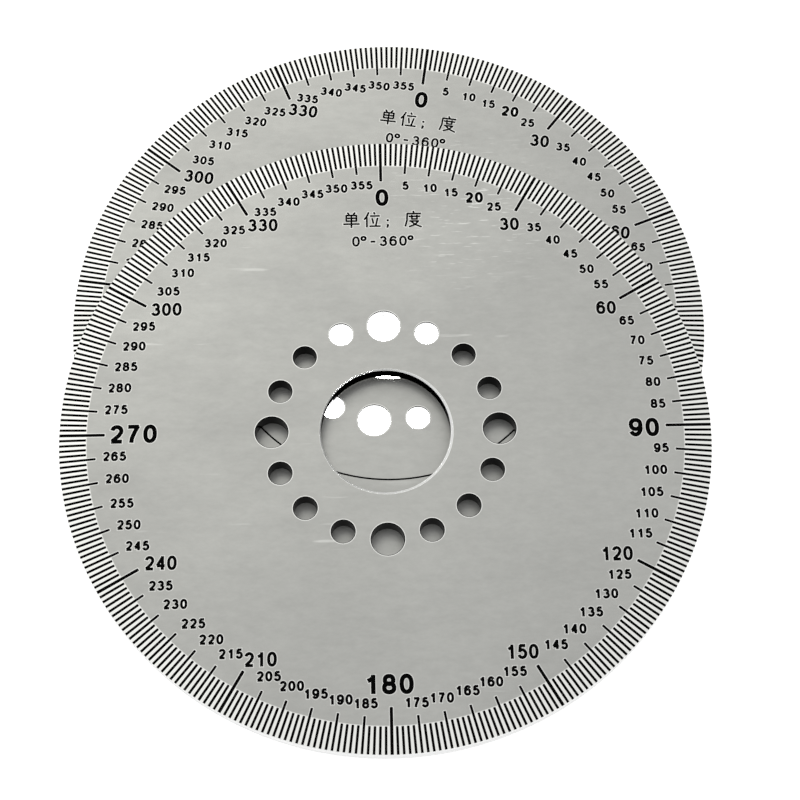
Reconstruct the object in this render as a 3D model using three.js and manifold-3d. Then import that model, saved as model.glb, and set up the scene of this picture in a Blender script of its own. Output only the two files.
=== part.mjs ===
// A pair of flat 360 degree dial plates for a rotary table, one lying on the other.
// Units are millimetres and degrees. +Z is up, and +Y points from the centre of the
// upper plate to its 0 mark. The origin is under the middle of the pair, on the surface
// that the lower plate rests on.

import * as THREE from 'three';
import { mergeGeometries, mergeVertices } from 'three/addons/utils/BufferGeometryUtils.js';
import Module from 'manifold-3d';

// Plate blank, the same for both plates.
const plateDiameter = 70;
const plateThickness = 2;
const boreDiameter = 14;
const boreEdgeBreak = 0.2;

// Ring of through holes round the bore. Hole 0 is under the 0 mark.
const holeCircleDiameter = 24.5;
const holeCount = 16;
const largeHoleEvery = 4;
const largeHoleDiameter = 3.5;
const smallHoleDiameter = 2.5;

// Degree scale: V-shaped lines, engraved in the top face and open at the rim.
const lineSpacing = 1;
const lineDepth = 0.12;
const lineKinds = [
  { every: 30, length: 4.9, width: 0.34 },
  { every: 5, length: 3.9, width: 0.28 },
  { every: lineSpacing, length: 2.9, width: 0.28 },
];

// Fine circle engraved on the lower plate only, round its bore.
const circleDiameter = 38;
const circleLineWidth = 0.2;
const circleLineDepth = 0.05;

// How the two plates lie: the lower plate's centre seen from the upper plate's, the
// lower plate's turn (counter-clockwise from above), and the air film between them.
const lowerPlateShift = { x: 0.62, y: 14.08 };
const lowerPlateTurn = -8.61;
const restingGap = 0.02;

// Number of flats that each round wall is divided into.
const rimFacets = 180;
const boreFacets = 48;
const largeHoleFacets = 24;
const smallHoleFacets = 20;
const circleFacets = 90;

// How far a cutting tool runs past the face that it cuts through.
const toolOverrun = 0.5;

const fullTurn = 360;
const steel = { color: 0xb4b5ae, roughness: 0.42, metalness: 0.85 };

const wasm = await Module();
wasm.setup();

// A closed three.js geometry as a manifold-3d solid.
function toSolid(geometry) {
  const bare = geometry.clone();
  bare.deleteAttribute('normal');
  bare.deleteAttribute('uv');
  const merged = mergeVertices(bare);
  const mesh = new wasm.Mesh({
    numProp: 3,
    vertProperties: new Float32Array(merged.attributes.position.array),
    triVerts: new Uint32Array(merged.index.array),
  });
  return new wasm.Manifold(mesh);
}

// A manifold-3d solid as a three.js geometry.
function toGeometry(solid) {
  const mesh = solid.getMesh();
  const geometry = new THREE.BufferGeometry();
  geometry.setAttribute('position', new THREE.BufferAttribute(mesh.vertProperties, 3));
  geometry.setIndex(new THREE.BufferAttribute(mesh.triVerts, 1));
  geometry.computeVertexNormals();
  return geometry;
}

// Turns a geometry clockwise about +Z, as the scale counts.
function turnClockwise(geometry, degrees) {
  geometry.rotateZ(-THREE.MathUtils.degToRad(degrees));
}

// A body of revolution about +Z, from [radius, height] points listed upwards.
function turned(profile, facets, startAngle = 0) {
  const points = profile.map(([radius, height]) => new THREE.Vector2(radius, height));
  const start = THREE.MathUtils.degToRad(startAngle);
  const geometry = new THREE.LatheGeometry(points, facets, start, 2 * Math.PI);
  geometry.rotateX(Math.PI / 2);
  return geometry;
}

// The round blank. The corners between its flats stand midway between two lines.
function disc() {
  const rim = plateDiameter / 2;
  const profile = [[0, 0], [rim, 0], [rim, plateThickness], [0, plateThickness]];
  return turned(profile, rimFacets, lineSpacing / 2);
}

// The tool for the bore: a straight wall with both of its edges broken.
function boreTool() {
  const wall = boreDiameter / 2;
  const flare = wall + boreEdgeBreak + toolOverrun;
  return turned([
    [0, -toolOverrun],
    [flare, -toolOverrun],
    [wall, boreEdgeBreak],
    [wall, plateThickness - boreEdgeBreak],
    [flare, plateThickness + toolOverrun],
    [0, plateThickness + toolOverrun],
  ], boreFacets);
}

// All the holes of the ring, as one tool.
function holeRingTool() {
  const height = plateThickness + 2 * toolOverrun;
  const tools = [];
  for (let i = 0; i < holeCount; i += 1) {
    const large = i % largeHoleEvery === 0;
    const radius = (large ? largeHoleDiameter : smallHoleDiameter) / 2;
    const facets = large ? largeHoleFacets : smallHoleFacets;
    const tool = new THREE.CylinderGeometry(radius, radius, height, facets);
    tool.rotateX(Math.PI / 2);
    tool.translate(0, holeCircleDiameter / 2, plateThickness / 2);
    turnClockwise(tool, fullTurn * i / holeCount);
    tools.push(tool);
  }
  return mergeGeometries(tools);
}

// The V-shaped tool for one line of the scale, at 0. Its flanks run on above the face.
function lineTool({ length, width }) {
  const halfWidth = width / 2 * (lineDepth + toolOverrun) / lineDepth;
  const section = new THREE.Shape([
    new THREE.Vector2(0, plateThickness - lineDepth),
    new THREE.Vector2(halfWidth, plateThickness + toolOverrun),
    new THREE.Vector2(-halfWidth, plateThickness + toolOverrun),
  ]);
  const reach = length + toolOverrun;
  const tool = new THREE.ExtrudeGeometry(section, { depth: reach, bevelEnabled: false });
  tool.rotateX(Math.PI / 2);
  tool.translate(0, plateDiameter / 2 + toolOverrun, 0);
  return tool;
}

// The lines of the degree scale, each as its own tool.
function scaleTools() {
  const tools = [];
  for (let angle = 0; angle < fullTurn; angle += lineSpacing) {
    const tool = lineTool(lineKinds.find((kind) => angle % kind.every === 0));
    turnClockwise(tool, angle);
    tools.push(tool);
  }
  return tools;
}

// The V-shaped tool for the fine circle.
function circleTool() {
  const middle = circleDiameter / 2;
  const halfWidth = circleLineWidth / 2 * (circleLineDepth + toolOverrun) / circleLineDepth;
  const bottom = [middle, plateThickness - circleLineDepth];
  return turned([
    bottom,
    [middle + halfWidth, plateThickness + toolOverrun],
    [middle - halfWidth, plateThickness + toolOverrun],
    bottom,
  ], circleFacets);
}

function cut(solid, tools) {
  return tools.reduce((left, tool) => left.subtract(toSolid(tool)), solid);
}

function dialPlate(name, solid) {
  const mesh = new THREE.Mesh(toGeometry(solid), new THREE.MeshStandardMaterial(steel));
  mesh.name = name;
  return mesh;
}

const plainPlate = cut(toSolid(disc()), [boreTool(), holeRingTool(), ...scaleTools()]);

const lowerPlate = dialPlate('lower_dial_plate', cut(plainPlate, [circleTool()]));
lowerPlate.position.set(lowerPlateShift.x / 2, lowerPlateShift.y / 2, 0);
lowerPlate.rotation.z = THREE.MathUtils.degToRad(lowerPlateTurn);

const upperPlate = dialPlate('upper_dial_plate', plainPlate);
upperPlate.position.set(-lowerPlateShift.x / 2, -lowerPlateShift.y / 2, plateThickness + restingGap);

const dialPair = new THREE.Group();
dialPair.add(lowerPlate, upperPlate);

export default dialPair;
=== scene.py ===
"""A pair of graduated steel dial plates, one lying on the other, on a plain pale table.

Lengths in the named values are in millimetres unless a comment says otherwise; MM turns
them into the metres of the frame. Angles are in degrees, clockwise from the 0 mark.
"""

import math

import bpy
import numpy as np
from mathutils import Matrix, Vector
from mathutils.geometry import delaunay_2d_cdt


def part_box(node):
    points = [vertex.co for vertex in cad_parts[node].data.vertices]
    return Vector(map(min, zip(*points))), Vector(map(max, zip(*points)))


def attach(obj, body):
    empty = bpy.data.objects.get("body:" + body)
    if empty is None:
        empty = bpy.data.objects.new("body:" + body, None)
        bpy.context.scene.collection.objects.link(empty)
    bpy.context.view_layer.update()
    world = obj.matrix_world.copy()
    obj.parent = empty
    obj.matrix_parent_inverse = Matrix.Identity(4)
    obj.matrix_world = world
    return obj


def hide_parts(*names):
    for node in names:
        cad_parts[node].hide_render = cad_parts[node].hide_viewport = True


MM = 0.001

# The plate, as the CAD model has it, and how far the lower one is turned.
THICKNESS = 2.0
BORE_RADIUS = 7.0
HOLE_CIRCLE_RADIUS = 12.25
HOLE_COUNT = 16
LARGE_HOLE_EVERY = 4
LARGE_HOLE_RADIUS = 1.75
SMALL_HOLE_RADIUS = 1.25
RIM_RADIUS = 35.0
LOWER_PLATE_TURN = 8.61

# Broken edges, how far off centre the bore's is, and how finely the round walls are divided.
RIM_EDGE_BREAK = 0.055
BORE_EDGE_BREAK = 0.2
BORE_EDGE_SHIFT = (0.07, -0.07)
HOLE_EDGE_BREAK = 0.08
RIM_SEGMENTS = 720
BORE_SEGMENTS = 192
HOLE_SEGMENTS = 64

# The scale's lines: (name, angle between them, length inside the rim, width). The first kind
# that divides an angle sets its line. The corners at a line's inner end are cut by its width
# over LINE_CORNER, and its outer end runs past the rim, where the plate's outline ends it.
LINE_KINDS = (
    ("thirty_degree_lines", 30, 4.9, 0.34),
    ("five_degree_lines", 5, 3.9, 0.27),
    ("one_degree_lines", 1, 2.9, 0.27),
)
LINE_CORNER = 5
LINE_OVERRUN = 1.0
FIVE_DEGREES = LINE_KINDS[1][1]
RING_WIDTH = LINE_KINDS[-1][2]

# Every mark is recessed this deep, and its filling lies this far below the face. Lips with a
# painted highlight run round the marks, the holes and the bore. The last value is how strong the
# painted highlight on the steel between the one degree lines is, from 0 to 1.
MARK_DEPTH = 0.05
MARK_SINK = 0.006
LIP = 0.11
HOLE_LIP = 0.1
BORE_LIP = 0.03
RING_PAINTED_HIGHLIGHT = 0.67

# Numerals: (name, angle between them, height, stroke, digit width, pitch). The stroke, the
# width and the pitch are for a height of 1. The first kind that divides an angle sets it. One
# numeral is taller than the rest of its kind.
NUMERAL_KINDS = (
    ("quarter_numerals", 90, 2.15, 0.22, 0.69, 0.83),
    ("thirty_numerals", 30, 1.6, 0.21, 0.64, 0.73),
    ("five_numerals", 5, 1.12, 0.25, 0.68, 0.79),
)
NUMERAL_HEIGHTS = {20: 1.38}

# The numerals were set one by one: (angle, drift, reach). From each angle on, a numeral is this
# many degrees further round than its line, and the outer corner of its box is this far from
# the plate's centre.
SETTINGS = {
    "quarter_numerals": (
        (0, 0.2, 29.15),
        (90, 0.4, 29.43),
        (180, 0.35, 28.95),
        (270, 0.15, 29.6),
    ),
    "thirty_numerals": (
        (0, 0.3, 29.6),
        (120, 0.8, 29.75),
        (150, 1.1, 29.65),
        (210, -1.9, 29.75),
        (240, -1.2, 29.65),
        (300, 1.6, 29.85),
        (330, 1.8, 29.7),
    ),
    "five_numerals": (
        (0, 0.4, 30.25),
        (10, 0.7, 30.4),
        (15, 0.4, 30.4),
        (20, 0.6, 30.8),
        (25, 0.4, 30.4),
        (55, 0.1, 30.45),
        (95, 0.0, 30.45),
        (110, -0.1, 30.5),
        (115, -0.5, 30.6),
        (160, -0.3, 30.5),
        (170, 0.0, 30.5),
        (215, -1.0, 30.45),
        (230, -0.4, 30.45),
        (260, 0.2, 30.4),
        (275, 0.75, 30.45),
        (280, 0.75, 30.55),
        (305, 0.45, 30.43),
        (310, 0.75, 30.55),
        (335, -1.2, 30.6),
        (340, -0.6, 30.6),
        (345, -0.1, 30.55),
        (350, 0.25, 30.5),
        (355, 0.8, 30.4),
    ),
}

# The legend under the 0. It names the unit, degrees, and the range. A line of it is (how far
# its middle is above the plate's centre, height, stroke and width of its signs, signs), and a
# sign is (name, how far its middle is right of the plate's centre).
UNIT_SIGNS = (("unit_1", -3.4), ("unit_2", -1.05), (";", 0.7), ("degree", 3.55))
RANGE_SIGNS = (
    ("0", -2.9),
    ("o", -2.05),
    ("-", -1.0),
    ("3", 0.15),
    ("6", 1.25),
    ("0", 2.35),
    ("o", 3.2),
)
LEGEND = ((25.3, 2.1, 0.105, 0.97, UNIT_SIGNS), (22.6, 1.3, 0.2, 0.68, RANGE_SIGNS))

# How strokes are drawn: degrees and least steps of an arc, how square a ring is (1 is round),
# the least hole that a ring keeps, and the least cosine that a mitre is made for.
ARC_STEP = 15.0
ARC_LEAST_STEPS = 3
RING_POWER = 0.9
LEAST_RING_HOLE = 0.02
LEAST_MITRE = 0.5

# The fine circle on the lower plate.
CIRCLE_RADIUS = 19.0
CIRCLE_LINE_WIDTH = 0.2
CIRCLE_SEGMENTS = 360

# How exact the triangulation is, how near its edge a point belongs to a round wall, and the
# angle over which an edge isn't shaded smooth.
CDT_EPSILON = 1e-5
EDGE_TOLERANCE = 0.004
SHARP_ANGLE = 30.0

# The colours of the steel face: dark and light clouds, scratches, and a painted highlight on lips.
DARK_CLOUD, LIGHT_CLOUD = (0.398, 0.401, 0.388), (0.452, 0.456, 0.440)
SCRATCH_COLOUR = (0.80, 0.81, 0.79)
PAINTED_HIGHLIGHT_COLOUR = (0.96, 0.965, 0.95)

# The walls, dark with oxide and darker still as painted shade, the bore's wall most: their
# grey, and how much they shine at a grazing angle.
HOLE_WALL_GREY, HOLE_WALL_TINT = 0.007, 0.6
BORE_WALL_GREY, BORE_WALL_TINT = 0.003, 0.08

# The black filling: its colours, and how little it shines.
DARK_FILLING, LIGHT_FILLING = (0.0004, 0.0004, 0.0004), (0.002, 0.002, 0.002)
FILLING_SPECULAR = 0.02

# Where handling has left the most scratches, in metres.
SCRATCHED_PLACE = (0.010, 0.020, 0.004)
SCRATCHED_REACH = 0.0125

# Places of the finishes in the list of a plate's materials.
FACE_SLOT, RIM_SLOT, WALL_SLOT, BORE_SLOT = range(4)

# The stage, in metres. The table and the lamp in it lie a little below the plates, and the
# lamp's middle is this share of the way from the middle of the model to that of the upper
# plate.
FLOOR_SIZE = 3.0
FLOOR_DROP = 0.01 * MM
FLOOR_GLOW = 0.62
FLOOR_ROUGHNESS = 0.9
LAMP_GLOW = 46.0
LAMP_RADIUS = 0.018
LAMP_SHARE = 0.5

# The light: how bright it is all round, and the soft light's place and the side of its square,
# both in metres, its power in watts and its colour.
WORLD_STRENGTH = 0.82
KEY_LIGHT = ((-0.23, 0.50, 0.73), 0.55, 1.3, (1.0, 0.985, 0.90))

# The camera: where it stands, the point that it looks at, its roll and its lens, and how near
# and how far it sees, in metres.
CAMERA_PLACE = (-1.392, -81.401, 198.790)
CAMERA_TARGET = (1.297, -3.591, 4.02)
CAMERA_ROLL = 0.81
CAMERA_LENS = 87.37
SENSOR_WIDTH = 36.0
CLIP_START, CLIP_END = 0.01, 10.0


def rim_to(length):
    """The radius that lies this far inside the rim."""
    return RIM_RADIUS - length


def circle(radius, segments, centre=(0.0, 0.0)):
    """Points of a circle, anticlockwise."""
    angles = np.radians(360.0 * np.arange(segments) / segments)
    return np.column_stack(
        [centre[0] + radius * np.cos(angles), centre[1] + radius * np.sin(angles)]
    )


def turned(points, degrees):
    """The points, turned clockwise about the plate's centre."""
    a = math.radians(-degrees)
    rotation = np.array([[math.cos(a), math.sin(a)], [-math.sin(a), math.cos(a)]])
    return np.asarray(points, float) @ rotation


# --- numerals -------------------------------------------------------------------------------


def arc(cx, cy, rx, ry, start, end):
    """Points of an elliptical arc in the digit's unit box, from one angle to another."""
    steps = max(ARC_LEAST_STEPS, int(abs(end - start) / ARC_STEP))
    angles = np.radians(np.linspace(start, end, steps + 1))
    return np.column_stack([cx + rx * np.cos(angles), cy + ry * np.sin(angles)])


def line(*points):
    """Points of a line with corners in the digit's unit box."""
    return np.array(points, float)


# Each sign's strokes as centre lines in a unit box. A ring is (centre x and y, radius in x and
# in y), and an open stroke is its points. "o" is the small ring after a number of degrees. The
# signs of the unit's name are Chinese, in plain strokes.
SIGNS = {
    "o": [("ring", 0.5, 0.84, 0.36, 0.2)],
    "-": [("open", line((0.05, 0.45), (0.95, 0.45)))],
    ";": [
        ("ring", 0.5, 0.44, 0.02, 0.02),
        ("ring", 0.5, 0.12, 0.02, 0.02),
        ("open", line((0.53, 0.12), (0.44, -0.06))),
    ],
    "unit_1": [
        ("open", line((0.26, 1.0), (0.38, 0.85))),
        ("open", line((0.76, 1.0), (0.62, 0.85))),
        ("open", line((0.18, 0.80), (0.84, 0.80))),
        ("open", line((0.18, 0.61), (0.84, 0.61))),
        ("open", line((0.18, 0.42), (0.84, 0.42))),
        ("open", line((0.20, 0.84), (0.20, 0.38))),
        ("open", line((0.82, 0.84), (0.82, 0.38))),
        ("open", line((0.0, 0.22), (1.02, 0.22))),
        ("open", line((0.51, 0.84), (0.51, -0.04))),
    ],
    "unit_2": [
        ("open", line((0.30, 1.0), (0.16, 0.70), (0.0, 0.50))),
        ("open", line((0.17, 0.72), (0.17, -0.02))),
        ("open", line((0.60, 1.0), (0.68, 0.84))),
        ("open", line((0.36, 0.74), (0.98, 0.74))),
        ("open", line((0.50, 0.60), (0.58, 0.22))),
        ("open", line((0.84, 0.62), (0.72, 0.10))),
        ("open", line((0.32, 0.06), (1.02, 0.06))),
    ],
    "degree": [
        ("open", line((0.50, 1.04), (0.56, 0.90))),
        ("open", line((0.10, 0.86), (1.0, 0.86))),
        ("open", line((0.14, 0.88), (0.12, 0.42), (0.0, 0.0))),
        ("open", line((0.22, 0.67), (0.96, 0.67))),
        ("open", line((0.42, 0.78), (0.42, 0.48))),
        ("open", line((0.74, 0.78), (0.74, 0.48))),
        ("open", line((0.38, 0.50), (0.78, 0.50))),
        ("open", line((0.26, 0.36), (0.86, 0.36))),
        ("open", line((0.84, 0.38), (0.62, 0.14), (0.22, -0.02))),
        ("open", line((0.36, 0.36), (0.60, 0.14), (1.02, -0.04))),
    ],
    "0": [("ring", 0.5, 0.5, 0.5, 0.5)],
    "1": [
        ("open", line((0.66, -0.1), (0.66, 1.1))),
        ("open", line((0.66, 0.93), (0.42, 0.80), (0.10, 0.71))),
    ],
    "2": [
        (
            "open",
            np.vstack([arc(0.5, 0.72, 0.48, 0.28, 172, -20), line((0.72, 0.4), (0.0, 0.02))]),
        ),
        ("open", line((-0.08, 0.0), (1.08, 0.0))),
    ],
    "3": [
        ("open", arc(0.48, 0.75, 0.42, 0.25, 165, -100)),
        ("open", arc(0.47, 0.27, 0.52, 0.27, 100, -165)),
    ],
    "4": [
        ("open", line((0.78, 1.02), (-0.04, 0.26))),
        ("open", line((-0.08, 0.26), (1.12, 0.26))),
        ("open", line((0.76, 1.1), (0.76, -0.1))),
    ],
    "5": [
        ("open", line((0.98, 1.0), (0.12, 1.0))),
        ("open", line((0.22, 1.05), (0.10, 0.44))),
        ("open", arc(0.47, 0.32, 0.52, 0.32, 140, -165)),
    ],
    "6": [
        ("ring", 0.5, 0.31, 0.5, 0.31),
        ("open", np.vstack([arc(0.55, 0.52, 0.55, 0.48, 32, 180), line((0.0, 0.3))])),
    ],
    "7": [
        ("open", line((-0.08, 1.0), (1.08, 1.0))),
        ("open", line((0.98, 1.05), (0.62, 0.62), (0.36, 0.22), (0.3, -0.1))),
    ],
    "8": [("ring", 0.5, 0.755, 0.42, 0.245), ("ring", 0.5, 0.27, 0.5, 0.27)],
    "9": [
        ("ring", 0.5, 0.69, 0.5, 0.31),
        ("open", np.vstack([arc(0.45, 0.48, 0.55, 0.48, 212, 360), line((1.0, 0.7))])),
    ],
}


def ribbon(points, width):
    """The outline of a stroke of that width along the points, with square ends."""
    step = np.diff(points, axis=0)
    step /= np.linalg.norm(step, axis=1)[:, None]
    along = np.vstack([step[:1], step[:-1] + step[1:], step[-1:]])
    along /= np.linalg.norm(along, axis=1)[:, None]
    mitre = np.ones(len(points))
    cosine = np.einsum("ij,ij->i", along[1:-1], step[1:])
    mitre[1:-1] = 1.0 / np.maximum(LEAST_MITRE, cosine)
    side = np.column_stack([-along[:, 1], along[:, 0]]) * (mitre * width / 2)[:, None]
    return np.vstack([points + side, (points - side)[::-1]])


def sign_shapes(sign, height, stroke, width, grow):
    """(outline, hole or None) of each stroke of a sign, centred, and grown all round."""
    box = np.array([width * height, height])
    pen = stroke * height
    shapes = []
    for kind, *form in SIGNS[sign]:
        if kind == "ring":
            cx, cy, rx, ry = form
            centre = (np.array([cx, cy]) - 0.5) * (box - pen)
            radii = np.array([rx, ry]) * (box - pen)
            outer, inner = radii + pen / 2 + grow, radii - pen / 2 - grow
            unit = circle(1.0, int(360 / ARC_STEP))
            squarer = np.abs(unit) ** RING_POWER * np.sign(unit)
            hole = centre + squarer * inner if inner.min() > LEAST_RING_HOLE else None
            shapes.append((centre + squarer * outer, hole))
        else:
            path = (form[0] - 0.5) * (box - pen)
            ends = np.array([path[0] - path[1], path[-1] - path[-2]])
            ends /= np.linalg.norm(ends, axis=1)[:, None]
            path[0] += ends[0] * grow
            path[-1] += ends[1] * grow
            shapes.append((ribbon(path, pen + 2 * grow), None))
    return shapes


# --- layout of the face ---------------------------------------------------------------------


def bar(inner, outer, half_width, corner):
    """A bar along the radius at the 0, with its inner corners cut."""
    return np.array(
        [
            (-half_width + corner, inner),
            (half_width - corner, inner),
            (half_width, inner + corner),
            (half_width, outer),
            (-half_width, outer),
            (-half_width, inner + corner),
        ]
    )


def kind_at(angle, kinds):
    """The first of some kinds of line or numeral that has one at this angle."""
    return next(kind for kind in kinds if angle % kind[1] == 0)


def numeral_angles():
    """The angles that have a numeral."""
    return range(0, 360, FIVE_DEGREES)


def numeral_shapes(angle, grow):
    """(outline, hole) of each stroke of the numeral at an angle, in place on the plate."""
    name, _, height, stroke, width, pitch = kind_at(angle, NUMERAL_KINDS)
    height = NUMERAL_HEIGHTS.get(angle, height)
    text = str(angle)
    _, drift, reach = [setting for setting in SETTINGS[name] if setting[0] <= angle][-1]
    a = math.radians(angle + drift)
    corner = np.array([((len(text) - 1) * pitch + width) * height / 2, height / 2])
    along = np.abs([math.sin(a), math.cos(a)]) @ corner
    radius = math.sqrt(reach**2 - corner @ corner + along**2) - along
    middle = radius * np.array([math.sin(a), math.cos(a)])
    shapes = []
    for i, sign in enumerate(text):
        place = middle + ((i - (len(text) - 1) / 2) * pitch * height, 0.0)
        for outline, hole in sign_shapes(sign, height, stroke, width, grow):
            shapes.append((outline + place, None if hole is None else hole + place))
    return shapes


def legend_shapes(grow):
    """(outline, hole) of each stroke of the legend, in place on the plate."""
    shapes = []
    for y, height, stroke, width, signs in LEGEND:
        for sign, x in signs:
            for outline, hole in sign_shapes(sign, height, stroke, width, grow):
                shapes.append((outline + (x, y), None if hole is None else hole + (x, y)))
    return shapes


def holes_of_plate():
    """(centre, centre of its edge on the face, radius, edge break, lip, segments) of the bore
    and of each hole round it. The bore was deburred a little off centre."""
    shift = np.array(BORE_EDGE_SHIFT)
    holes = [(np.zeros(2), shift, BORE_RADIUS, BORE_EDGE_BREAK, BORE_LIP, BORE_SEGMENTS)]
    for i in range(HOLE_COUNT):
        radius = LARGE_HOLE_RADIUS if i % LARGE_HOLE_EVERY == 0 else SMALL_HOLE_RADIUS
        centre = turned([(0.0, HOLE_CIRCLE_RADIUS)], 360.0 * i / HOLE_COUNT)[0]
        holes.append((centre, centre, radius, HOLE_EDGE_BREAK, HOLE_LIP, HOLE_SEGMENTS))
    return holes


def mark_shapes(with_circle):
    """{name of the filling: [(outline, hole), ...]} for every mark on a plate."""
    marks = {kind[0]: [] for kind in LINE_KINDS + NUMERAL_KINDS}
    for angle in range(360):
        name, _, length, width = kind_at(angle, LINE_KINDS)
        outer = RIM_RADIUS + LINE_OVERRUN
        shape = bar(rim_to(length), outer, width / 2, width / LINE_CORNER)
        marks[name].append((turned(shape, angle), None))
    for angle in numeral_angles():
        marks[kind_at(angle, NUMERAL_KINDS)[0]] += numeral_shapes(angle, 0.0)
    marks["legend"] = legend_shapes(0.0)
    if with_circle:
        half = CIRCLE_LINE_WIDTH / 2
        outline = circle(CIRCLE_RADIUS + half, CIRCLE_SEGMENTS)
        marks["fine_circle"] = [(outline, circle(CIRCLE_RADIUS - half, CIRCLE_SEGMENTS))]
    return marks


def lip_loops(with_circle):
    """Closed outlines that bound the painted highlight's lip round the marks and the holes."""
    ring = rim_to(RING_WIDTH) - LIP
    loops = [circle(ring, RIM_SEGMENTS // 2)]
    lettering = legend_shapes(LIP)
    for angle in numeral_angles():
        _, _, length, width = kind_at(angle, LINE_KINDS)
        loops.append(turned(bar(rim_to(length) - LIP, ring + LIP, width / 2 + LIP, LIP), angle))
        lettering += numeral_shapes(angle, LIP)
    for outline, hole in lettering:
        loops += [outline] if hole is None else [outline, hole]
    for _, centre, radius, edge, lip, segments in holes_of_plate():
        loops.append(circle(radius + edge + lip, segments, centre))
    if with_circle:
        for radius in (CIRCLE_RADIUS - LIP, CIRCLE_RADIUS + LIP):
            loops.append(circle(radius, CIRCLE_SEGMENTS))
    return loops


def divide(polygons, loops=()):
    """Triangulates the plane along closed outlines: polygons, which say what is inside them,
    and loops, which only bound triangles. Returns the points, the triangles (anticlockwise),
    the set of polygons that each triangle lies in, and the points given that each point
    stands for."""
    points, faces, edges = [], [], []
    for outline in polygons:
        x, y = np.asarray(outline).T
        if (x * np.roll(y, -1) - y * np.roll(x, -1)).sum() < 0:
            outline = outline[::-1]
        faces.append(list(range(len(points), len(points) + len(outline))))
        points += [tuple(p) for p in outline]
    for outline in loops:
        ring = list(range(len(points), len(points) + len(outline)))
        edges += list(zip(ring, ring[1:] + ring[:1]))
        points += [tuple(p) for p in outline]
    found = delaunay_2d_cdt([Vector(p) for p in points], edges, faces, 1, CDT_EPSILON)
    where = np.array([tuple(v) for v in found[0]])
    return where, found[2], [set(s) for s in found[5]], found[3]


# --- solids ---------------------------------------------------------------------------------


class Build:
    """Collects the vertices of one mesh, how much painted highlight each has, its faces, and the
    place of each face's material in the list."""

    def __init__(self):
        self.points, self.faces, self.slots, self.burnish = [], [], [], []

    def point(self, xy, z, burnish=0.0):
        self.points.append((xy[0] * MM, xy[1] * MM, z * MM))
        self.burnish.append(burnish)
        return len(self.points) - 1

    def face(self, corners, slot=FACE_SLOT):
        kept = [c for i, c in enumerate(corners) if c != corners[i - 1]]
        if len(kept) > 2:
            self.faces.append(kept)
            self.slots.append(slot)

    def mesh(self, name, materials):
        mesh = bpy.data.meshes.new(name)
        mesh.from_pydata(self.points, [], self.faces)
        for material in materials:
            mesh.materials.append(material)
        mesh.polygons.foreach_set("material_index", self.slots)
        layer = mesh.attributes.new("burnish", "FLOAT", "POINT")
        layer.data.foreach_set("value", self.burnish)
        mesh.validate()
        return mesh


def border(triangles):
    """The directed edges of a set of triangles that no other of them shares."""
    edges = {(t[i], t[(i + 1) % 3]) for t in triangles for i in range(3)}
    return {e for e in edges if (e[1], e[0]) not in edges}


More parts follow.
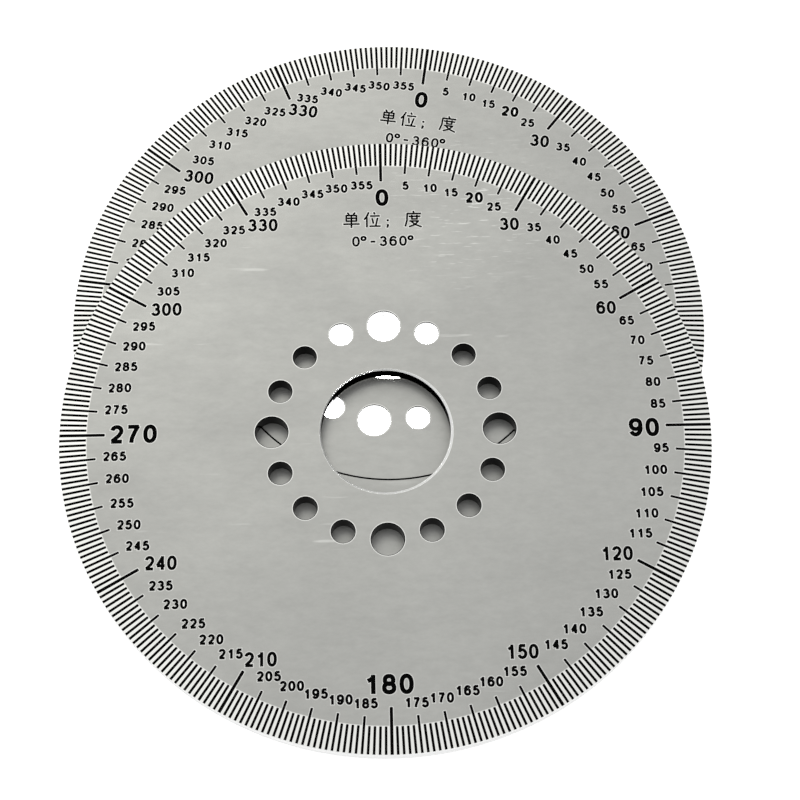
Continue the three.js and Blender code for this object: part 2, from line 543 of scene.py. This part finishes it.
def plate_solid(points, plain, marked, wall_of):
    """The steel of one plate: recessed marks, broken edges, round walls, flat underside. The
    plain and the marked triangles make up its face, and wall_of gives the round wall that ends
    the face at a point."""
    build = Build()
    mark_edges, plain_edges = border(marked), border(plain)
    on_mark = {v for t in marked for v in t}
    top, low, outer = {}, {}, {}

    def top_of(i):
        if i not in top:
            # Painted highlight: full at a hole's or the bore's edge, part of it in the ring and at
            # marks.
            if i in wall_of and wall_of[i][1] != RIM_RADIUS:
                shine = 1.0
            else:
                in_ring = np.hypot(*points[i]) > rim_to(RING_WIDTH)
                shine = RING_PAINTED_HIGHLIGHT if in_ring or i in on_mark else 0.0
            top[i] = build.point(points[i], THICKNESS, shine)
        return top[i]

    def low_of(i):
        if i not in low:
            low[i] = build.point(points[i], THICKNESS - MARK_DEPTH, 1.0)
        return low[i]

    def stations(i):
        """The vertices under a border point: where the floor of a line meets the broken edge,
        if a line is here, then the top and the bottom of the wall, then the underside."""
        if i not in outer:
            centre, radius, face_radius, _ = wall_of[i]
            unit = (points[i] - centre) / np.linalg.norm(points[i] - centre)
            side = math.copysign(1.0, radius - face_radius)
            edge = abs(radius - face_radius)
            leave = centre + unit * (face_radius + side * MARK_DEPTH)
            # The top of the broken edge gets the full painted highlight, a line's floor end a part
            # of it.
            outer[i] = (
                build.point(leave, THICKNESS - MARK_DEPTH, RING_PAINTED_HIGHLIGHT) if i in on_mark else None,
                build.point(centre + unit * radius, THICKNESS - edge, 1.0),
                build.point(centre + unit * radius, edge, 0.0),
                build.point(points[i], 0.0, 0.0),
            )
        return outer[i]

    for t in plain:
        build.face([top_of(i) for i in t])
    for t in marked:
        build.face([low_of(i) for i in t])
    for a, b in plain_edges:
        if (b, a) in mark_edges:
            build.face([top_of(b), top_of(a), low_of(a), low_of(b)])
    for a, b in plain_edges | mark_edges:
        if (b, a) in mark_edges or (b, a) in plain_edges:
            continue
        slot = {RIM_RADIUS: RIM_SLOT, BORE_RADIUS: BORE_SLOT}.get(wall_of[a][1], WALL_SLOT)
        (ea, ta, ba, ua), (eb, tb, bb, ub) = stations(a), stations(b)
        if (a, b) in mark_edges:
            build.face([low_of(b), low_of(a), ea, eb])
            build.face([eb, ea, ta, tb])
        else:
            # The rim's and the bore's broken edges take the face's steel and so its painted
            # highlight.
            edge = [top_of(b), top_of(a), ea, ta, tb, eb]
            edge_slot = WALL_SLOT if slot == WALL_SLOT else FACE_SLOT
            build.face([v for v in edge if v is not None], edge_slot)
            if ea is not None:
                build.face([top_of(a), low_of(a), ea])
            if eb is not None:
                build.face([low_of(b), top_of(b), eb])
        build.face([tb, ta, ba, bb], slot)
        build.face([bb, ba, ua, ub])
    rings = {}
    for i in outer:
        rings.setdefault(tuple(wall_of[i][0]) + (wall_of[i][1],), []).append(i)
    loops = []
    for (x, y, _), members in rings.items():
        loops.append(sorted(members, key=lambda i: math.atan2(points[i][1] - y, points[i][0] - x)))
    rim_loop = next(k for k, loop in enumerate(loops) if wall_of[loop[0]][1] == RIM_RADIUS)
    order = [i for loop in loops for i in loop]
    _, triangles, inside, given = divide([points[loop] for loop in loops])
    for t, s in zip(triangles, inside):
        if s == {rim_loop}:
            build.face([outer[order[given[i][0]]][3] for i in reversed(t)])
    return build


def filling_solid(points, triangles, wall_of):
    """The black filling of some marks: thin closed slabs that end in the rim's broken edge.
    They clear the floor of the recess by half of MARK_SINK."""
    build = Build()
    upper, lower = {}, {}
    for sink, z_of in ((MARK_SINK, upper), (MARK_DEPTH - MARK_SINK / 2, lower)):
        for i in {v for t in triangles for v in t}:
            place = points[i]
            if i in wall_of:
                place = place / np.linalg.norm(place) * (wall_of[i][2] + sink - MARK_SINK / 2)
            z_of[i] = build.point(place, THICKNESS - sink)
    for t in triangles:
        build.face([upper[i] for i in t])
        build.face([lower[i] for i in reversed(t)])
    for a, b in border(triangles):
        build.face([upper[b], upper[a], lower[a], lower[b]])
    return build


def plate_pieces(side, centre, turn, with_circle, steels, black):
    """Makes one plate, and the black filling of its marks, where the CAD plate is. Returns its
    pieces, with the steel first."""
    marks = mark_shapes(with_circle)
    # A wall is (its centre, its radius, the radius of its edge on the face, that edge's centre).
    polygons = [circle(RIM_RADIUS - RIM_EDGE_BREAK, RIM_SEGMENTS)]
    walls = [(np.zeros(2), RIM_RADIUS, RIM_RADIUS - RIM_EDGE_BREAK, np.zeros(2))]
    for hole_centre, edge_centre, radius, edge, _, segments in holes_of_plate():
        polygons.append(circle(radius + edge, segments, edge_centre))
        walls.append((hole_centre, radius, radius + edge, edge_centre))
    voids = set(range(1, len(polygons)))
    kinds = {}
    for kind, shapes in marks.items():
        kinds[kind] = []
        for outline, hole in shapes:
            kinds[kind].append((len(polygons), None if hole is None else len(polygons) + 1))
            polygons += [outline] if hole is None else [outline, hole]
    points, triangles, inside, _ = divide(polygons, lip_loops(with_circle))
    wall_of = {}
    for wall in walls:
        _, _, face_radius, (x, y) = wall
        distance = np.hypot(points[:, 0] - x, points[:, 1] - y)
        for i in np.flatnonzero(np.abs(distance - face_radius) < EDGE_TOLERANCE):
            wall_of[int(i)] = wall
    plain, marked = [], {kind: [] for kind in marks}
    owner = {}
    for kind, ids in kinds.items():
        for outline, hole in ids:
            owner[outline] = (kind, hole)
    for t, s in zip(triangles, inside):
        if 0 not in s or s & voids:
            continue
        found = [owner[k][0] for k in s if k in owner and owner[k][1] not in s]
        if found:
            marked[found[0]].append(t)
        else:
            plain.append(t)
    place = Matrix.Translation(centre) @ Matrix.Rotation(math.radians(-turn), 4, "Z")
    all_marked = [t for group in marked.values() for t in group]
    steel = plate_solid(points, plain, all_marked, wall_of)
    solids = [("plate_steel", "plate_steel", steel, steels)]
    for kind, group in marked.items():
        solids.append((kind, "black_mark", filling_solid(points, group, wall_of), [black]))
    pieces = []
    for ending, slot, build, materials in solids:
        name = side + "_" + ending
        mesh = build.mesh(name, materials)
        pieces.append(add_piece(name, mesh, place, side + "_plate"))
    return pieces


def add_piece(name, mesh, place, body):
    """Puts a mesh in its place as a piece that rides on a body."""
    mesh.transform(place)
    mesh.shade_smooth()
    mesh.set_sharp_from_angle(angle=math.radians(SHARP_ANGLE))
    piece = bpy.data.objects.new(name, mesh)
    bpy.context.scene.collection.objects.link(piece)
    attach(piece, body)
    return piece


# --- finishes -------------------------------------------------------------------------------


def new_material(name):
    """A material, its node tree and its shader."""
    material = bpy.data.materials.new(name)
    material.use_nodes = True
    tree = material.node_tree
    return material, tree, tree.nodes["Principled BSDF"]


def texture(tree, scale, detail, roughness, stretch=(1.0, 1.0, 1.0), turn=0.0, shift=0.0):
    """A noise fixed to the piece. The scale is in cycles a metre, and is multiplied by the
    stretch along each axis."""
    coordinates = tree.nodes.new("ShaderNodeTexCoord")
    mapping = tree.nodes.new("ShaderNodeMapping")
    noise = tree.nodes.new("ShaderNodeTexNoise")
    mapping.inputs["Scale"].default_value = stretch
    mapping.inputs["Rotation"].default_value = (0.0, 0.0, math.radians(turn))
    mapping.inputs["Location"].default_value = (shift, shift, shift)
    noise.inputs["Scale"].default_value = scale
    noise.inputs["Detail"].default_value = detail
    noise.inputs["Roughness"].default_value = roughness
    tree.links.new(coordinates.outputs["Object"], mapping.inputs["Vector"])
    tree.links.new(mapping.outputs["Vector"], noise.inputs["Vector"])
    return noise.outputs["Fac"]


def ramp(tree, source, stops):
    """A colour for each value of the source. It has two stops, and a stop is (position, grey
    or colour)."""
    node = tree.nodes.new("ShaderNodeValToRGB")
    for element, (position, colour) in zip(node.color_ramp.elements, stops):
        element.position = position
        rgb = (colour,) * 3 if isinstance(colour, float) else colour
        element.color = (*rgb, 1.0)
    tree.links.new(source, node.inputs["Fac"])
    return node.outputs["Color"]


def nearness(tree, place, reach):
    """1 at a place on the piece, and 0 from a reach away from it, all in metres."""
    coordinates = tree.nodes.new("ShaderNodeTexCoord")
    distance = tree.nodes.new("ShaderNodeVectorMath")
    distance.operation = "DISTANCE"
    distance.inputs[1].default_value = place
    fade = tree.nodes.new("ShaderNodeMapRange")
    fade.inputs["From Max"].default_value = reach
    fade.inputs["To Min"].default_value = 1.0
    fade.inputs["To Max"].default_value = 0.0
    tree.links.new(coordinates.outputs["Object"], distance.inputs[0])
    tree.links.new(distance.outputs["Value"], fade.inputs["Value"])
    return fade.outputs["Result"]


def blend_of(tree, kind, first, second, factor=1.0):
    """Two colours blended. Each, and the factor, is a constant or an output."""
    node = tree.nodes.new("ShaderNodeMix")
    node.data_type = "RGBA"
    node.blend_type = kind
    if isinstance(factor, float):
        node.inputs["Factor"].default_value = factor
    else:
        tree.links.new(factor, node.inputs["Factor"])
    for socket, value in ((node.inputs["A"], first), (node.inputs["B"], second)):
        if isinstance(value, tuple):
            socket.default_value = (*value, 1.0)
        else:
            tree.links.new(value, socket)
    return node.outputs["Result"]


def bumped(tree, shader, source, strength, distance):
    """Gives the shader a bump as high as the source. The distance is in metres."""
    bump = tree.nodes.new("ShaderNodeBump")
    bump.inputs["Strength"].default_value = strength
    bump.inputs["Distance"].default_value = distance
    tree.links.new(source, bump.inputs["Height"])
    tree.links.new(bump.outputs["Normal"], shader.inputs["Normal"])


def steel_face():
    """Satin steel: cloudy, with a fine grain, patches of long scratches, short ones crowded at
    one place, and a painted highlight on lips round the marks and holes and on broken edges."""
    material, tree, shader = new_material("satin_steel")

    clouds = texture(tree, scale=45.0, detail=3.0, roughness=0.55)
    clouds = ramp(tree, clouds, [(0.25, DARK_CLOUD), (0.75, LIGHT_CLOUD)])
    grain = texture(tree, scale=1100.0, detail=4.0, roughness=0.7, stretch=(0.6, 1.2, 1.0))
    grain = ramp(tree, grain, [(0.3, 0.94), (0.7, 1.04)])
    colour = blend_of(tree, "MULTIPLY", clouds, grain)

    long = texture(
        tree, scale=560.0, detail=2.0, roughness=0.5, stretch=(0.22, 2.0, 1.0), turn=6.0
    )
    long = ramp(tree, long, [(0.68, 0.0), (0.75, 0.6)])
    patches = texture(tree, scale=70.0, detail=1.0, roughness=0.5, shift=0.3)
    patches = ramp(tree, patches, [(0.46, 0.0), (0.60, 0.6)])
    long = blend_of(tree, "MULTIPLY", long, patches)
    short = texture(
        tree,
        scale=1500.0,
        detail=2.0,
        roughness=0.5,
        stretch=(0.3, 2.4, 1.0),
        turn=4.0,
        shift=0.11,
    )
    short = ramp(tree, short, [(0.61, 0.0), (0.69, 0.7)])
    crowd = nearness(tree, SCRATCHED_PLACE, SCRATCHED_REACH)
    short = blend_of(tree, "MULTIPLY", short, crowd)
    scratched = blend_of(tree, "ADD", long, short)
    colour = blend_of(tree, "MIX", colour, SCRATCH_COLOUR, scratched)

    # Painted highlight: the steel turns pale towards the edges of marks, holes, bore and rim.
    highlight_source = tree.nodes.new("ShaderNodeAttribute")
    highlight_source.attribute_name = "burnish"
    highlighted = ramp(tree, highlight_source.outputs["Fac"], [(0.0, 0.0), (0.95, 1.0)])
    colour = blend_of(tree, "MIX", colour, PAINTED_HIGHLIGHT_COLOUR, highlighted)
    tree.links.new(colour, shader.inputs["Base Color"])

    rough = texture(tree, scale=160.0, detail=4.0, roughness=0.6, stretch=(0.5, 1.5, 1.0))
    rough = ramp(tree, rough, [(0.2, 0.40), (0.8, 0.52)])
    tree.links.new(rough, shader.inputs["Roughness"])
    shader.inputs["Metallic"].default_value = 1.0
    fine = texture(tree, scale=2600.0, detail=3.0, roughness=0.6, stretch=(0.25, 1.8, 1.0))
    bumped(tree, shader, fine, strength=0.08, distance=0.00002)
    return material


def steel_rim():
    """The turned edge: brighter, with fine tool lines round it."""
    material, tree, shader = new_material("turned_steel")
    lines = texture(tree, scale=900.0, detail=3.0, roughness=0.6, stretch=(0.05, 0.05, 6.0))
    tree.links.new(ramp(tree, lines, [(0.3, 0.56), (0.7, 0.84)]), shader.inputs["Base Color"])
    tree.links.new(ramp(tree, lines, [(0.2, 0.30), (0.8, 0.42)]), shader.inputs["Roughness"])
    shader.inputs["Metallic"].default_value = 1.0
    bumped(tree, shader, lines, strength=0.15, distance=0.00002)
    return material


def steel_wall(name, grey, tint):
    """A bore's or a hole's wall: dark with oxide and painted shade, and tool lines round it."""
    material, tree, shader = new_material(name)
    lines = texture(tree, scale=700.0, detail=3.0, roughness=0.6, stretch=(0.15, 0.15, 5.0))
    colour = ramp(tree, lines, [(0.3, grey / 2), (0.75, grey * 1.5)])
    tree.links.new(colour, shader.inputs["Base Color"])
    tree.links.new(ramp(tree, lines, [(0.2, 0.14), (0.8, 0.24)]), shader.inputs["Roughness"])
    shader.inputs["Metallic"].default_value = 1.0
    shader.inputs["Specular Tint"].default_value = (tint, tint, tint, 1.0)
    bumped(tree, shader, lines, strength=0.05, distance=0.00001)
    return material


def black_fill():
    """The black filling of the marks: matte, with a slightly uneven surface."""
    material, tree, shader = new_material("black_filling")
    patches = texture(tree, scale=2200.0, detail=3.0, roughness=0.6)
    colour = ramp(tree, patches, [(0.3, DARK_FILLING), (0.75, LIGHT_FILLING)])
    tree.links.new(colour, shader.inputs["Base Color"])
    tree.links.new(ramp(tree, patches, [(0.2, 0.55), (0.8, 0.75)]), shader.inputs["Roughness"])
    shader.inputs["Specular IOR Level"].default_value = FILLING_SPECULAR
    bumped(tree, shader, patches, strength=0.1, distance=0.00001)
    return material


def table_top(name, glow):
    """A pale surface that glows: the table under the plates, or the lamp in it."""
    material, tree, shader = new_material(name)
    clouds = texture(tree, scale=30.0, detail=3.0, roughness=0.5)
    tree.links.new(ramp(tree, clouds, [(0.3, 0.80), (0.7, 0.84)]), shader.inputs["Base Color"])
    shader.inputs["Roughness"].default_value = FLOOR_ROUGHNESS
    shader.inputs["Emission Color"].default_value = (1.0, 1.0, 1.0, 1.0)
    shader.inputs["Emission Strength"].default_value = glow
    return material


# --- stage ----------------------------------------------------------------------------------


def make_floor(middle):
    """The table, and a lamp set in it where the open holes show it."""
    half = FLOOR_SIZE / 2
    table = [(-half, -half), (half, -half), (half, half), (-half, half)]
    lamp = circle(LAMP_RADIUS, HOLE_SEGMENTS, middle)
    for name, outline, drop, glow in (
        ("table", table, 2 * FLOOR_DROP, FLOOR_GLOW),
        ("lamp", lamp, FLOOR_DROP, LAMP_GLOW),
    ):
        mesh = bpy.data.meshes.new(name)
        points = [(x, y, -drop) for x, y in outline]
        mesh.from_pydata(points, [], [range(len(points))])
        mesh.materials.append(table_top(name, glow))
        top = bpy.data.objects.new(name, mesh)
        bpy.context.scene.collection.objects.link(top)


def make_light(place, size, power, colour):
    """A square soft light that faces the plates."""
    light = bpy.data.lights.new("key", "AREA")
    light.size = size
    light.energy = power
    light.color = colour
    holder = bpy.data.objects.new("key", light)
    holder.location = place
    holder.rotation_euler = Vector(place).to_track_quat("Z", "Y").to_euler()
    bpy.context.scene.collection.objects.link(holder)


def make_world():
    """An even white light from all round."""
    world = bpy.data.worlds.new("soft_room")
    world.use_nodes = True
    background = world.node_tree.nodes["Background"]
    background.inputs["Color"].default_value = (1.0, 1.0, 1.0, 1.0)
    background.inputs["Strength"].default_value = WORLD_STRENGTH
    bpy.context.scene.world = world


def make_camera():
    """The camera, at the photograph's viewing angle."""
    camera = bpy.data.cameras.new("camera")
    camera.lens = CAMERA_LENS
    camera.sensor_width = SENSOR_WIDTH
    camera.clip_start, camera.clip_end = CLIP_START, CLIP_END
    place, target = Vector(CAMERA_PLACE) * MM, Vector(CAMERA_TARGET) * MM
    aim = (target - place).to_track_quat("-Z", "Y").to_matrix().to_4x4()
    holder = bpy.data.objects.new("camera", camera)
    roll = Matrix.Rotation(math.radians(CAMERA_ROLL), 4, "Z")
    holder.matrix_world = Matrix.Translation(place) @ aim @ roll
    bpy.context.scene.collection.objects.link(holder)
    bpy.context.scene.camera = holder


# --- the object -----------------------------------------------------------------------------

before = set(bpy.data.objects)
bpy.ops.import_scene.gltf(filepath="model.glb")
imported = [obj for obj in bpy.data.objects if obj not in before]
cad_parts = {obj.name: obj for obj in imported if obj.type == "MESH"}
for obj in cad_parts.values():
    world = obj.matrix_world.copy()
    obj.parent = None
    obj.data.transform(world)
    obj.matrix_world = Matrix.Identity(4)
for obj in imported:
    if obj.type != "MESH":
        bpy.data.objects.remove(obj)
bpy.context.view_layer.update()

steels = [
    steel_face(),
    steel_rim(),
    # The walls are darker than their oxide as painted shade; the bore's stays black in the lamp's
    # light.
    steel_wall("oxide_and_shade_hole_wall", HOLE_WALL_GREY, HOLE_WALL_TINT),
    steel_wall("oxide_and_shade_bore_wall", BORE_WALL_GREY, BORE_WALL_TINT),
]
black = black_fill()
for side, turn, with_circle in (("lower", LOWER_PLATE_TURN, True), ("upper", 0.0, False)):
    low, high = (Vector(corner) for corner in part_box(side + "_dial_plate"))
    foot = Vector(((low.x + high.x) / 2, (low.y + high.y) / 2, low.z))
    pieces = plate_pieces(side, foot, turn, with_circle, steels, black)
    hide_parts(side + "_dial_plate")

make_floor(tuple((foot * LAMP_SHARE).xy))
make_world()
make_light(*KEY_LIGHT)
make_camera()
bpy.context.scene.view_settings.view_transform = "Standard"
